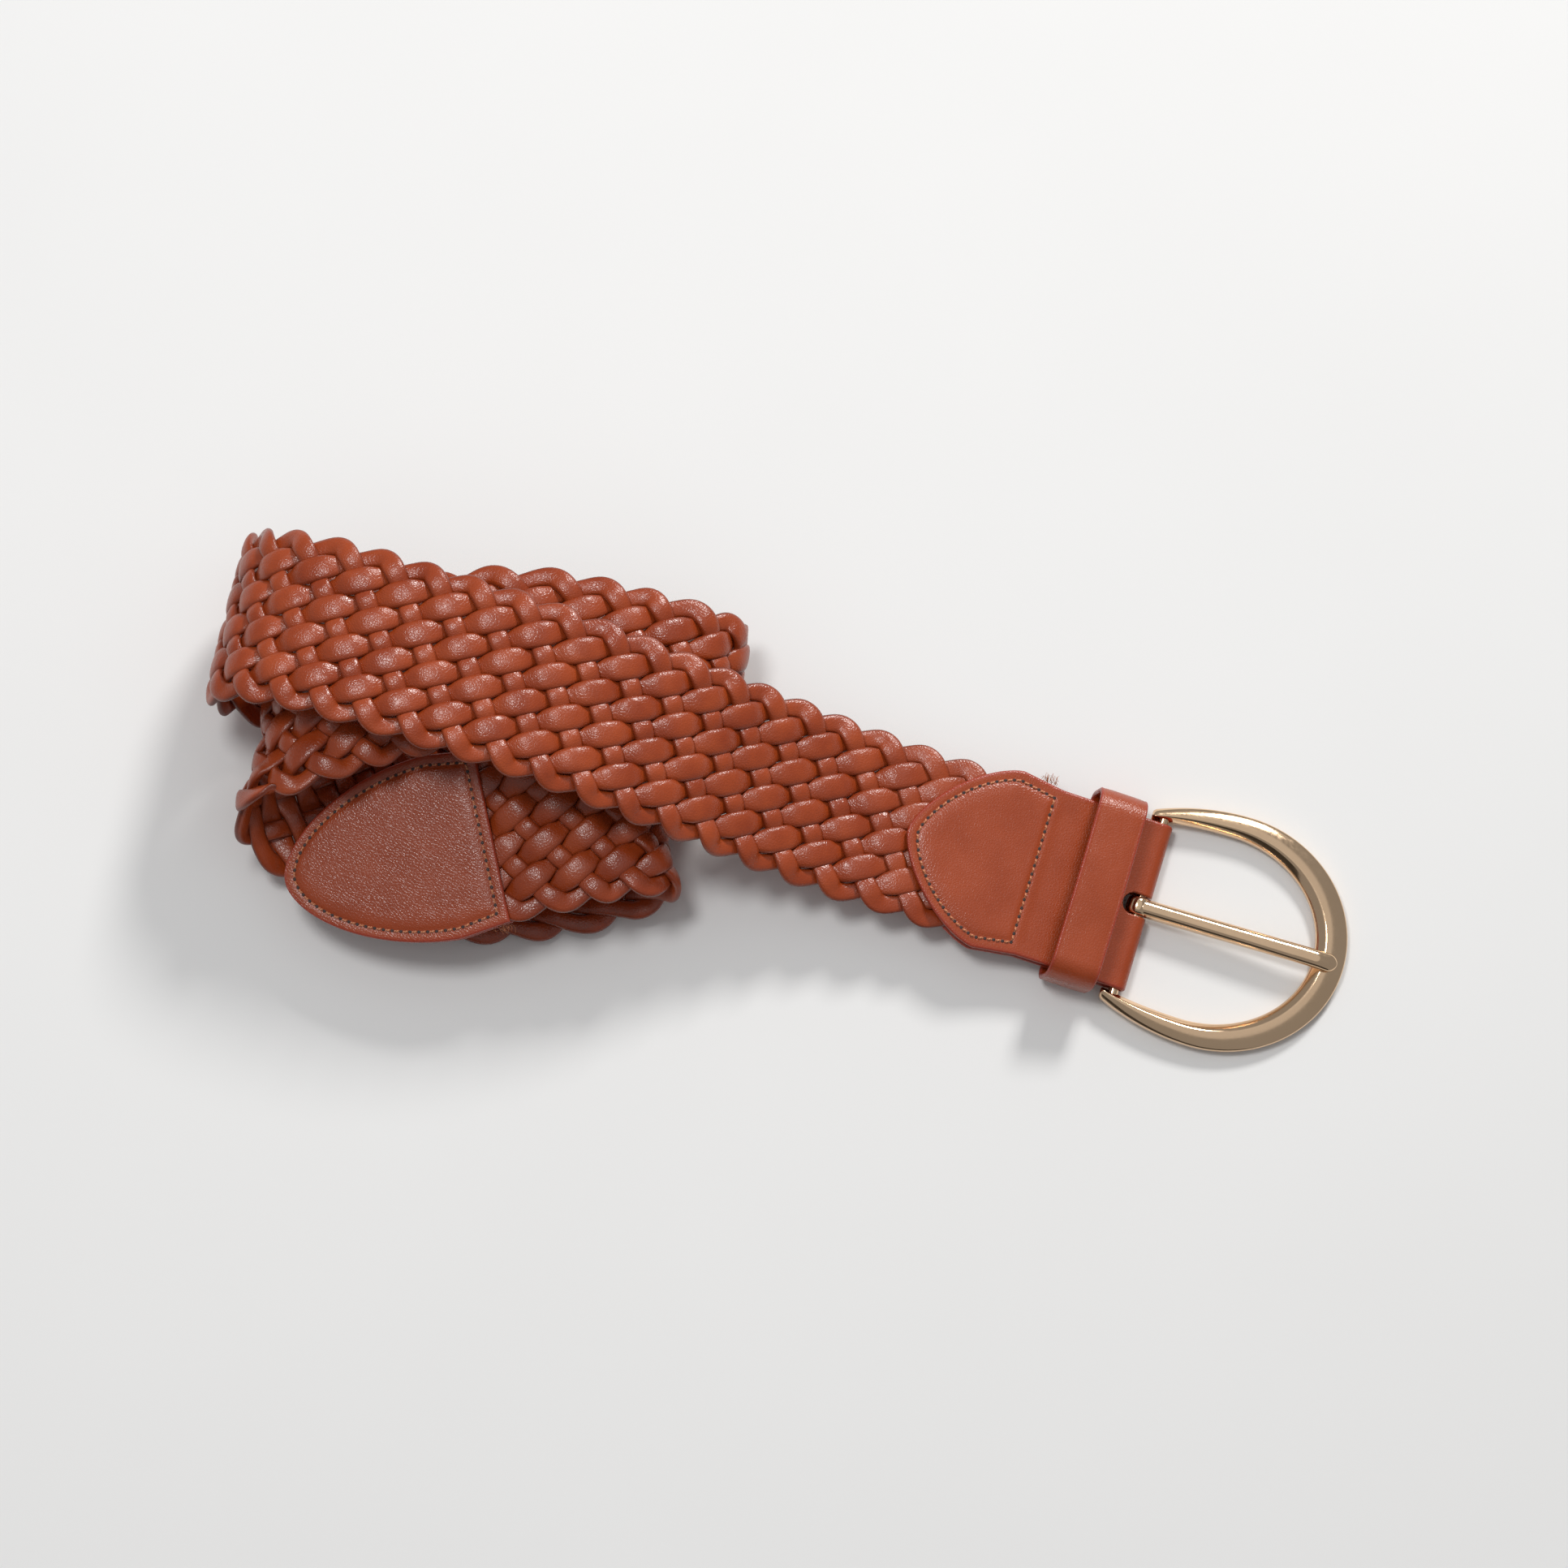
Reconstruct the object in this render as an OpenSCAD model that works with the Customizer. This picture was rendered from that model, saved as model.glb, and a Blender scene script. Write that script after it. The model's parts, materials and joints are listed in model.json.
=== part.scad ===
// Wide braided leather belt with a D-shaped buckle, lying loosely coiled on a flat surface.
// +X runs along the buckle, from its bar to its round end, and +Z is up.

/* [Braided strap] */
// Width of the braided strap
strap_w = 50; // [30:1:60]
// Thickness of the braided strap
strap_t = 5; // [4:0.1:6]
// Thickness of the strap where the leather ends hold it pressed
pressed_t = 3; // [2.4:0.1:3.6]
// Gap between the lanes of two thongs
thong_gap = 0.5; // [0.3:0.05:0.6]

/* [Leather ends] */
// Thickness of the folded leather at the buckle
chape_t = 1.5; // [1.2:0.1:1.8]
// How far the stitched tongues stand past each edge of the strap
tongue_over = 1; // [0:0.1:2]
// Reach of the leather from the bar to the end of its tongue
chape_len = 69; // [60:1:85]
// Length of the rounded part of that tongue
chape_round = 27; // [20:1:32]
// Distance from the bar to the braid's cut end
braid_start = 31; // [30:1:34]
// Length of the leather tip
tip_len = 60; // [50:1:75]
// Length of the rounded part of the tip
tip_round = 46; // [30:1:48]
// Length of braid held inside the tip
tip_hold = 12; // [8:1:16]
// Thickness of each leather panel of the tip
tip_panel_t = 1.4; // [1:0.1:1.8]

/* [Stitching] */
// Distance from one stitch to the next
stitch_pitch = 2.5; // [2:0.1:4]
// Length of thread seen in one stitch
stitch_len = 1.8; // [1:0.1:1.9]
// Radius of the sewing thread
thread_r = 0.3; // [0.2:0.05:0.4]
// Distance from the seam to the leather's edge
seam_inset = 3; // [2:0.1:4]

/* [Keeper] */
// Width of the keeper loop, along the belt
keeper_w = 14; // [8:0.5:16]
// Thickness of the keeper's leather
keeper_t = 1.6; // [1.2:0.1:2]
// Clear height above the folded leather for the strap's tip
keeper_room = 7.6; // [7:0.1:9]
// Distance from the bar to the keeper's near edge
keeper_gap = 7; // [7:0.5:9]

/* [Buckle] */
// Radius of the bar that the leather folds around
bar_r = 1.5; // [1.2:0.1:1.7]
// Width of each arm at the bar
arm_w = 4; // [3:0.1:5]
// Thickness of the buckle's frame
frame_t = 4.6; // [3.6:0.1:5]
// Distance from the bar to the outside of the frame's round end
frame_len = 60; // [50:1:70]
// How far the frame swells past the arms' outer faces, each side
frame_swell = 4.4; // [2:0.1:6]
// Width of the frame at its round end
rim_end = 9; // [7:0.1:12]
// Width of the frame at its widest place
rim_side = 6.8; // [5:0.1:8]
// Length of each arm behind the bar's axis
arm_tail = 3.5; // [3:0.1:4]
// Width of the prong
prong_w = 5.2; // [4:0.1:6]
// Thickness of the prong
prong_t = 3; // [2:0.1:3.4]

/* [Hidden] */
$fn = 48;

thong_count = 10;

// Place of the bar's middle, which puts the origin under the middle of the whole belt
bar_x = 104.13;
bar_y = 15.47;

// Clearances
run_clear = 0.08;      // between the bar and what turns on it
glue_clear = 0.05;     // between leathers that are glued or sewn together
keeper_clear = 0.3;    // between the keeper and the leather it slides on
rest_clear = 0.3;      // between the prong and the frame it rests on
arm_clear = 0.9;       // between the folded leather and each arm of the buckle
floor_clear = 0.08;    // under the middle of the strap's lowest run, which tilts a little

// The leather end at the buckle
chape_slope = 9;                       // how steeply the strap rises from the bar, in degrees
leaf_gap = bar_r + run_clear;          // from the middle to the inner face of each leaf
leaf_top = leaf_gap + chape_t;         // from the middle to the outer face of each leaf
chape_w = strap_w - 1.4;               // the leather is a little narrower than the strap
tongue_half = strap_w / 2 + tongue_over;
waist_back = 12;                       // from the tongue's widest place to where it is narrow again
slot_reach = 5.2;                      // the prong's slot, from the bar into each leaf
tape_t = 0.8;

// The keeper, and the height of the bar that lets the keeper's lower corner clear the surface
keeper_half = tongue_half + 0.4;
keeper_low = -leaf_top - keeper_clear;
keeper_high = leaf_top + keeper_room;
staple_r = 0.3;
staple_crown = 8;
bar_z = 0.2 + (keeper_t - keeper_low) * cos(chape_slope) - (keeper_gap - 1) * sin(chape_slope);

// The leather tip
tip_slope = 10;                        // how steeply the tip falls, in degrees
tip_lean = 6;                          // how far it leans over on its side, in degrees
tip_turn = 208;                        // direction in which the tip points, in degrees
tip_gap = pressed_t / 2 + glue_clear;
tip_top = tip_gap + tip_panel_t;
tip_base_w = strap_w - 1.4;
tip_half = strap_w / 2 + tongue_over;

// The buckle
arm_gap = chape_w + 2 * arm_clear;     // clear width between the arms at the bar
frame_drop = asin((bar_z - frame_t / 2 - 0.05) / frame_len);
arm_out = arm_gap / 2 + arm_w;
frame_half = arm_out + frame_swell;
frame_wide_at = 24;
hole_wide_at = 20;
bar_in = 2.6;                          // length of bar held in each arm
eye_wall = 1.9;
eye_r = bar_r + run_clear + eye_wall;
prong_reach = frame_len - 2.4;
prong_rest = frame_t / 2 + rest_clear;

// Route of the strap's middle line, from the bar: X, Y, height, direction of the coil's axis, lean
route = [
    [-110, 0, 28.5, 87, 0], [-137, 0, 43.5, 86, 0], [-172, 1, 54, 87, 0], [-209, 1, 57, 90, 0],
    [-238, 1, 54.5, 92, 0], [-256, 0, 46, 93, 0], [-264, -0.5, 30, 94, 0],
    [-259, 0, 12.5, 95, 0], [-240, 3, 2.5, 95, 0], [-195, 8, 2.5, 96, 0],
    [-148, 14.5, 2.5, 96, 0], [-131, 16.5, 9, 97, 0], [-125, 17.5, 20, 95, 0],
    [-131, 17, 31, 97, 0], [-148, 16, 37.5, 99, 0], [-183.5, 11.5, 42, 104, 0],
    [-214, -3, 42.5, 106, 0], [-235, -17, 40, 102, 1], [-245, -27.5, 27, 99, 3],
    [-236, -36, 13.2, 103, 6], [-209.5, -42.5, 7.3, 106, 7], [-182, -40.5, 6, 111, 7],
    [-159.5, -32, 7, 115, 6], [-146, -24, 7.5, 118, 2], [-138, -18, 13, 119, 2],
    [-136.5, -16.5, 19.5, 122, 2], [-140.5, -18, 26, 124, 1], [-151, -23, 29, 119, 3]
];
tip_base = [-176.3, -36.8, 26.5];
rings_per_stretch = 4;

function unit(v) = v / norm(v);
function mix(a, b, f) = a + (b - a) * f;
function on_chape(d) = [-d * cos(chape_slope), 0, bar_z + d * sin(chape_slope), 90, 0];
tip_dir = [cos(tip_slope) * cos(tip_turn), cos(tip_slope) * sin(tip_turn), -sin(tip_slope)];
function on_tip(d) = [for (i = [0:2]) tip_base[i] + d * tip_dir[i], tip_turn - 90, tip_lean];

// Stations: the pressed start under the leather, the free route, and the pressed end in the tip
chape_step = (chape_len - braid_start) / 2;
stations = concat(
    [for (k = [0:3]) on_chape(braid_start + k * chape_step)],
    route,
    [for (d = [-tip_hold, 0, tip_hold]) on_tip(d)]
);
last = len(stations) - 1;
function station(i) = i < 0 ? 2 * stations[0] - stations[1]
    : i > last ? 2 * stations[last] - stations[last - 1]
    : stations[i];

// Smooth curve through the stations, kept from sinking into the surface
function curve(i, t) = let (
        a = station(i - 1), b = station(i), c = station(i + 1), d = station(i + 2),
        p = (2 * b + (c - a) * t + (2 * a - 5 * b + 4 * c - d) * t * t
            + (3 * b - a - 3 * c + d) * t * t * t) / 2
    ) [p[0], p[1], max(p[2], strap_t / 2 + floor_clear), p[3], p[4]];
line = concat(
    [for (i = [0:last - 1], k = [0:rings_per_stretch - 1]) curve(i, k / rings_per_stretch)],
    [stations[last]]
);
ends = len(line) - 1;

// Frame at ring i: travel, outward normal and the direction across the strap
function travel(i) = let (a = line[max(i - 1, 0)], b = line[min(i + 1, ends)])
    unit([b[0] - a[0], b[1] - a[1], b[2] - a[2]]);
function coil_axis(i) = let (turn = line[i][3], lean = line[i][4])
    [cos(turn) * cos(lean), sin(turn) * cos(lean), sin(lean)];
function outward(i) = unit(cross(coil_axis(i), travel(i)));
function across(i) = cross(travel(i), outward(i));
function middle(i) = [line[i][0], line[i][1], line[i][2]];

// Share of the full thickness at ring i: pressed under both leather ends, full between them
held_rings = 2 * rings_per_stretch;
function fullness(i) = min(1, max(0, (i - held_rings) / 3), max(0, (ends - rings_per_stretch - i) / 3));
function ring_t(i) = mix(pressed_t, strap_t, fullness(i));
function ring_w(i) = mix(strap_w - 1, strap_w, fullness(i));

// One thong's lane of the strap: a flat band that follows the whole route
module thong(n) {
    function corner(i, a, b) = let (
            pitch = ring_w(i) / thong_count,
            side = (n - (thong_count + 1) / 2) * pitch + a * (pitch - thong_gap) / 2
        ) middle(i) + side * across(i) + b * ring_t(i) / 2 * outward(i);
    points = [for (i = [0:ends]) each [
        corner(i, -1, -1), corner(i, 1, -1), corner(i, 1, 1), corner(i, -1, 1)
    ]];
    sides = [for (i = [0:ends - 1], j = [0:3]) each let (
            a = i * 4 + j, b = i * 4 + (j + 1) % 4
        ) [[a, b, b + 4], [a, b + 4, a + 4]]];
    color([0.63, 0.26, 0.15])
    polyhedron(
        points = points,
        faces = concat([[3, 2, 1, 0]], sides, [[for (j = [0:3]) ends * 4 + j]])
    );
}

// Half of a tongue's outline, a curve that is fuller than a pointed arch: x is its reach
function tongue(reach, half, power, n = 24) = [for (i = [-n:n]) let (
        a = 90 * i / n,
        c = max(cos(a), 0),
        s = abs(sin(a))
    ) [reach * pow(c, 2 / power), sign(i) * half * pow(s, 2 / power)]];

// Outline of the chape, inset all round, with +x away from the bar
chape_power = 1.5;
chape_wide_at = chape_len - chape_round;
function chape_outline(inset, start) = concat(
    [for (p = tongue(chape_round - inset, tongue_half - inset, chape_power)) [chape_wide_at + p[0], p[1]]],
    [
        [chape_wide_at - waist_back, chape_w / 2 - inset], [start, chape_w / 2 - inset],
        [start, inset - chape_w / 2], [chape_wide_at - waist_back, inset - chape_w / 2]
    ]
);

// Outline of the leather tip, inset all round, with +x towards its point
tip_power = 1.75;
tip_wide_at = tip_len - tip_round;
function tip_outline(inset) = concat(
    [for (p = tongue(tip_round - inset, tip_half - inset, tip_power)) [tip_wide_at + p[0], p[1]]],
    [[inset, tip_base_w / 2 - inset], [inset, inset - tip_base_w / 2]]
);

// Frames in which the pieces are drawn
module at_bar() {
    translate([bar_x, bar_y, bar_z]) children();
}
module on_leather() {
    at_bar() rotate([0, chape_slope, 0]) rotate([0, 0, 180]) children();
}
module on_buckle() {
    at_bar() rotate([0, frame_drop, 0]) children();
}
module at_tip() {
    up = outward(ends);
    side = across(ends);
    translate([bar_x, bar_y, 0])
    multmatrix([for (i = [0:2]) [tip_dir[i], -side[i], up[i], tip_base[i]]])
    children();
}
module sheet(points, low, high) {
    translate([0, 0, low]) linear_extrude(high - low) polygon(points);
}
module across_belt(width) {
    translate([0, width / 2, 0]) rotate([90, 0, 0]) linear_extrude(width) children();
}

// A seam: stitches laid end to end along a path of points, on the face at height z
module seam(path, z) {
    steps = [for (i = [1:len(path) - 1]) norm(path[i] - path[i - 1])];
    sums = [for (i = 0, s = 0; i < len(path); s = s + (i < len(steps) ? steps[i] : 0), i = i + 1) s];
    xs = [for (i = [0:len(path) - 1]) [sums[i], path[i][0]]];
    ys = [for (i = [0:len(path) - 1]) [sums[i], path[i][1]]];
    total = sums[len(sums) - 1];
    count = floor(total / stitch_pitch);
    for (k = [0:count - 1]) {
        a = (k + 0.5) * total / count;
        p = [lookup(a - stitch_len / 2, xs), lookup(a - stitch_len / 2, ys)];
        q = [lookup(a + stitch_len / 2, xs), lookup(a + stitch_len / 2, ys)];
        translate([p[0], p[1], z])
        rotate([0, 90, atan2(q[1] - p[1], q[0] - p[0])])
        cylinder(r = thread_r, h = norm(q - p), $fn = 16);
    }
}
stitch_lift = thread_r + 0.02;

// Tapes sewn across the thongs' cut ends
module buckle_end_tape() {
    color([0.55, 0.36, 0.22])
    on_leather()
    translate([braid_start - tape_t - glue_clear, -strap_w / 2 + 2, -pressed_t / 2])
    cube([tape_t, strap_w - 4, pressed_t]);
}
module tip_end_tape() {
    color([0.55, 0.36, 0.22])
    at_tip()
    translate([tip_hold + glue_clear, -strap_w / 2 + 2, -pressed_t / 2])
    cube([tape_t, strap_w - 4, pressed_t]);
}

// The chape: one leather, folded around the bar, slotted for the prong, both leaves cut to a tongue
module buckle_chape() {
    color([0.66, 0.28, 0.16])
    on_leather()
    difference() {
        intersection() {
            across_belt(2 * tongue_half + 2) {
                circle(r = leaf_top);
                translate([0, -leaf_top]) square([chape_len + 1, 2 * leaf_top]);
            }
            sheet(chape_outline(0, -leaf_top - 1), -leaf_top - 1, leaf_top + 1);
        }
        across_belt(2 * tongue_half + 4) {
            circle(r = leaf_gap);
            translate([0, -leaf_gap]) square([chape_len + 2, 2 * leaf_gap]);
        }
        translate([-leaf_top - 1, -prong_w / 2 - 0.5, -leaf_top - 1])
        cube([leaf_top + 1 + slot_reach, prong_w + 1, 2 * leaf_top + 2]);
    }
}

// Board that keeps the two leaves flat between the slot and the braid
module chape_filler() {
    filler_start = slot_reach + 1.3;
    color([0.45, 0.3, 0.2])
    on_leather()
    translate([filler_start, -chape_w / 2 + 2, -leaf_gap + glue_clear])
    cube([
        braid_start - tape_t - 2 * glue_clear - filler_start - 0.1,
        chape_w - 4,
        2 * (leaf_gap - glue_clear)
    ]);
}

// Thread seams round the tongue and across the leather behind the braid's end
module chape_stitching() {
    edge = chape_outline(seam_inset, braid_start + 1);
    around = [for (i = [0:len(edge) - 5]) edge[i]];
    first = [braid_start + 1, seam_inset - chape_w / 2];
    closed = concat([first], around, [[braid_start + 1, chape_w / 2 - seam_inset], first]);
    color([0.72, 0.4, 0.22])
    on_leather() {
        seam(closed, leaf_top + stitch_lift);
        seam(closed, -leaf_top - stitch_lift);
    }
}

// The tip: a front and a back panel, a filler cut to the same outline, and the seam round them
module tip_front_panel() {
    color([0.66, 0.28, 0.16]) at_tip() sheet(tip_outline(0), tip_gap, tip_top);
}
module tip_back_panel() {
    color([0.6, 0.25, 0.15]) at_tip() sheet(tip_outline(0), -tip_top, -tip_gap);
}
module tip_filler() {
    filler_start = tip_hold + tape_t + 2 * glue_clear;
    color([0.5, 0.2, 0.12])
    at_tip()
    intersection() {
        sheet(tip_outline(0.2), glue_clear - tip_gap, tip_gap - glue_clear);
        translate([filler_start + 0.1, -tip_half, -tip_gap])
        cube([tip_len, 2 * tip_half, 2 * tip_gap]);
    }
}
module tip_stitching() {
    edge = tip_outline(seam_inset);
    closed = concat(edge, [edge[0]]);
    color([0.72, 0.4, 0.22])
    at_tip() {
        seam(closed, tip_top + stitch_lift);
        seam(closed, -tip_top - stitch_lift);
    }
}

// Keeper: a strip of leather bent to a loop, its ends meeting underneath
module rounded(w, low, high, r_low, r_high) {
    mid = (low + high) / 2;
    for (end = [[low, mid, r_low, low + r_low], [mid, high, r_high, high - r_high]]) {
        r = end[2];
        translate([-w + r, end[0]]) square([2 * w - 2 * r, end[1] - end[0]]);
        translate([-w, min(end[3], mid)]) square([2 * w, abs(mid - end[3])]);
        for (x = [-w + r, w - r]) translate([x, end[3]]) circle(r = r);
    }
}
module keeper_loop() {
    low_r = 2.5;
    high_r = 5;
    color([0.66, 0.28, 0.17])
    on_leather()
    translate([keeper_gap, 0, 0])
    rotate([90, 0, 90])
    linear_extrude(keeper_w)
    difference() {
        rounded(
            keeper_half + keeper_t, keeper_low - keeper_t, keeper_high + keeper_t,
            low_r + keeper_t, high_r + keeper_t
        );
        rounded(keeper_half, keeper_low, keeper_high, low_r, high_r);
        translate([-0.1, keeper_low - 2 * keeper_t]) square([0.2, 2 * keeper_t]);
    }
}

// Staple that closes the keeper: a crown under the joint and two legs through the leather
module keeper_staple() {
    crown_z = keeper_low - keeper_t - staple_r;
    color([0.75, 0.75, 0.78])
    on_leather()
    translate([keeper_gap + keeper_w / 2, 0, crown_z]) {
        rotate([90, 0, 0])
        translate([0, 0, -staple_crown / 2])
        cylinder(r = staple_r, h = staple_crown, $fn = 24);
        for (y = [staple_r - staple_crown / 2, staple_crown / 2 - staple_r])
            translate([0, y, 0]) cylinder(r = staple_r, h = staple_r + keeper_t * 0.75, $fn = 24);
    }
}

// The D frame: wide and thick at its round end, narrowing into two arms that hold the bar
function half_ellipse(at, reach, half, from, to, n = 16) = [for (i = [0:n]) let (
        a = mix(from, to, i / n)
    ) [at + reach * cos(a), half * sin(a)]];
function side_swell(at, half, drop, back, n = 6) = [for (i = [1:n]) let (
        x = mix(at, back, i / n),
        f = (at - x) / at
    ) [x, half - drop * f * f]];
function mirrored(points) = [for (i = [len(points) - 1:-1:0]) [points[i][0], -points[i][1]]];
module frame_outline() {
    outer = concat(
        half_ellipse(frame_wide_at, frame_len - frame_wide_at, frame_half, 0, 90),
        side_swell(frame_wide_at, frame_half, frame_swell, -arm_tail)
    );
    hole_half = frame_half - rim_side;
    inner = concat(
        half_ellipse(hole_wide_at, frame_len - rim_end - hole_wide_at, hole_half, 0, 90),
        side_swell(hole_wide_at, hole_half, hole_half - arm_gap / 2, -arm_tail - 1)
    );
    difference() {
        polygon(concat(mirrored(outer), outer));
        polygon(concat(mirrored(inner), inner));
    }
}
module buckle_frame() {
    color([0.83, 0.68, 0.5])
    on_buckle()
    difference() {
        translate([0, 0, -frame_t / 2]) linear_extrude(frame_t) frame_outline();
        rotate([90, 0, 0])
        translate([0, 0, -arm_gap / 2 - bar_in])
        cylinder(r = bar_r, h = arm_gap + 2 * bar_in);
    }
}
module buckle_bar() {
    color([0.75, 0.62, 0.46])
    on_buckle()
    rotate([90, 0, 0])
    translate([0, 0, -arm_gap / 2 - bar_in])
    cylinder(r = bar_r, h = arm_gap + 2 * bar_in);
}

// The prong: an eye that turns on the bar, and a blade whose end rests on the frame
module buckle_prong() {
    color([0.85, 0.7, 0.52])
    on_buckle()
    difference() {
        across_belt(prong_w) {
            circle(r = eye_r);
            polygon([
                [0, -prong_t / 2], [eye_r + 6, -prong_t / 2 + 0.4],
                [frame_len - rim_end - 3, prong_rest], [prong_reach, prong_rest],
                [prong_reach, prong_rest + prong_t * 0.6], [prong_reach - 2, prong_rest + prong_t],
                [frame_len - rim_end - 8, prong_rest + prong_t], [0, eye_r]
            ]);
        }
        across_belt(prong_w + 2) circle(r = bar_r + run_clear);
    }
}

module placed_thong(n) {
    translate([bar_x, bar_y, 0]) thong(n);
}

placed_thong(1);  // thong_1
placed_thong(2);  // thong_2
placed_thong(3);  // thong_3
placed_thong(4);  // thong_4
placed_thong(5);  // thong_5
placed_thong(6);  // thong_6
placed_thong(7);  // thong_7
placed_thong(8);  // thong_8
placed_thong(9);  // thong_9
placed_thong(10);  // thong_10
buckle_end_tape();
tip_end_tape();
buckle_chape();
chape_filler();
chape_stitching();
tip_front_panel();
tip_back_panel();
tip_filler();
tip_stitching();
keeper_loop();
keeper_staple();
buckle_frame();
buckle_bar();
buckle_prong();
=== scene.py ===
import json
import math

import bpy
import numpy as np
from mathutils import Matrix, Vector

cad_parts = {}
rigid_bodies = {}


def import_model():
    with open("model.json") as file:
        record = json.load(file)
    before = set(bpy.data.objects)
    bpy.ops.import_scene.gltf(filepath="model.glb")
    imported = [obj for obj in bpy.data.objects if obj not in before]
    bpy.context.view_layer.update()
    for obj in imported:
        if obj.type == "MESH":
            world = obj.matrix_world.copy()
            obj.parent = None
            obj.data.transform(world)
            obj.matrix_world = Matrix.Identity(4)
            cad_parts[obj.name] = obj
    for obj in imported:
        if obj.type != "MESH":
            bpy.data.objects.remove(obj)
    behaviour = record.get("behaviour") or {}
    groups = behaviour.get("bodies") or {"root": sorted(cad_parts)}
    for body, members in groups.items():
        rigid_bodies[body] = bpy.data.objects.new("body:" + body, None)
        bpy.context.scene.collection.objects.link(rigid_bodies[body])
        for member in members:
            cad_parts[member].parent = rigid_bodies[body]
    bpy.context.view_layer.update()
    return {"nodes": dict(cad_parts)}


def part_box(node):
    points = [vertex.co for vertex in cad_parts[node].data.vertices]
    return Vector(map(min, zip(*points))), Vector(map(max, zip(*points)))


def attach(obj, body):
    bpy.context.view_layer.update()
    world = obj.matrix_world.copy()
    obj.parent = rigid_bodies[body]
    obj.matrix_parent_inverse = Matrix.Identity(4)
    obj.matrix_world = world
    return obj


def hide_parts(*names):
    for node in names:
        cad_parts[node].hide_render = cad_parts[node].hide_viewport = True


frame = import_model()
scene = bpy.context.scene

# ---------------------------------------------------------------------------------------------
# The table, the lights and the camera. A pale table under daylight from a window on the far
# side, with a softbox and a pale ceiling panel overhead that the leather and the polished metal
# mirror, and a dark card on the near side. The camera looks almost straight down.
bar_low, bar_high = (np.array(corner) * 1000 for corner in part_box("buckle_bar"))
bar = (bar_low + bar_high) / 2

camera_turn, camera_height, camera_distance = math.radians(17), math.radians(80), 1400
looked_at = bar + [-104.25, 1.69, 0]
looked_at[2] = 20
away = np.array([
    math.sin(camera_turn) * math.cos(camera_height),
    -math.cos(camera_turn) * math.cos(camera_height),
    math.sin(camera_height),
])
camera_data = bpy.data.cameras.new("camera")
camera_data.lens = 115.55
camera_data.clip_start, camera_data.clip_end = 0.05, 20
camera = bpy.data.objects.new("camera", camera_data)
camera.location = Vector((looked_at + camera_distance * away) / 1000)
camera.rotation_mode = "QUATERNION"
camera.rotation_quaternion = Vector(-away).to_track_quat("-Z", "Y")
scene.collection.objects.link(camera)
scene.camera = camera


def finish_of(name, **values):
    """A new material and its nodes: a Principled shader whose plain sockets take the values."""
    made = bpy.data.materials.new(name)
    made.use_nodes = True
    nodes, links = made.node_tree.nodes, made.node_tree.links
    shader = nodes["Principled BSDF"]
    for socket, value in values.items():
        shader.inputs[socket.replace("_", " ")].default_value = value
    return made, nodes, links, shader


def add(nodes, kind, **values):
    """A new node, with its settings or plain sockets filled in."""
    node = nodes.new(kind)
    for key, value in values.items():
        if hasattr(node, key):
            setattr(node, key, value)
        else:
            node.inputs[key.replace("_", " ")].default_value = value
    return node


def solid(name, points, faces, finish=None, smooth=True):
    """A mesh object at the origin, from points in millimetres and a list or array of faces."""
    mesh = bpy.data.meshes.new(name)
    faces = faces.tolist() if isinstance(faces, np.ndarray) else faces
    mesh.from_pydata((np.asarray(points, float) / 1000).tolist(), [], faces)
    mesh.update()
    mesh.polygons.foreach_set("use_smooth", np.full(len(mesh.polygons), smooth))
    made = bpy.data.objects.new(name, mesh)
    scene.collection.objects.link(made)
    if finish:
        mesh.materials.append(finish)
    return made


table_finish, nodes, links, shader = finish_of("table", Roughness=0.55)
speckle = add(nodes, "ShaderNodeTexNoise", Scale=9.0, Detail=3.0)
tint = add(nodes, "ShaderNodeMix", data_type="RGBA")
tint.inputs[6].default_value = (0.80, 0.797, 0.79, 1)
tint.inputs[7].default_value = (0.83, 0.827, 0.82, 1)
links.new(add(nodes, "ShaderNodeTexCoord").outputs["Object"], speckle.inputs["Vector"])
links.new(speckle.outputs[0], tint.inputs[0])
links.new(tint.outputs[2], shader.inputs["Base Color"])
reach = 4000
table = solid(
    "table",
    [[-reach, -reach, 0], [reach, -reach, 0], [reach, reach, 0], [-reach, reach, 0]],
    [[0, 1, 2, 3]],
    table_finish,
)


def lamp(name, side, height, distance, size, power, warmth=(1, 1, 1)):
    """An area light aimed at the belt, from a side in degrees of turn from the camera's right."""
    turn = camera_turn + math.radians(side)
    tilt = math.radians(height)
    toward = Vector((
        math.cos(turn) * math.cos(tilt), math.sin(turn) * math.cos(tilt), math.sin(tilt)
    ))
    data = bpy.data.lights.new(name, "AREA")
    data.shape, data.size, data.energy, data.color = "DISK", size, power, warmth
    made = bpy.data.objects.new(name, data)
    made.location = Vector(looked_at / 1000) + toward * distance
    made.rotation_mode = "QUATERNION"
    made.rotation_quaternion = toward.to_track_quat("Z", "Y")
    scene.collection.objects.link(made)


lamp("window", 64, 35, 2.4, 0.5, 37, (1, 0.99, 0.97))
lamp("softbox", 140, 73, 1.5, 0.38, 7, (1, 1, 1))
lamp("ceiling", 90, 80, 1.55, 2.0, 2.8, (1, 1, 1))

card_finish = finish_of("dark_card", Base_Color=(0.03, 0.025, 0.02, 1), Roughness=0.9)[0]
card = solid(
    "dark_card",
    [[-900, -1100, 250], [1100, -1100, 250], [1100, -1500, 1100], [-900, -1500, 1100]],
    [[0, 1, 2, 3]],
    card_finish,
)

sky = bpy.data.worlds.new("studio")
sky.use_nodes = True
sky.node_tree.nodes["Background"].inputs[0].default_value = (0.97, 0.98, 1, 1)
sky.node_tree.nodes["Background"].inputs[1].default_value = 0.30
scene.world = sky
scene.view_settings.view_transform = "Standard"

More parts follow.
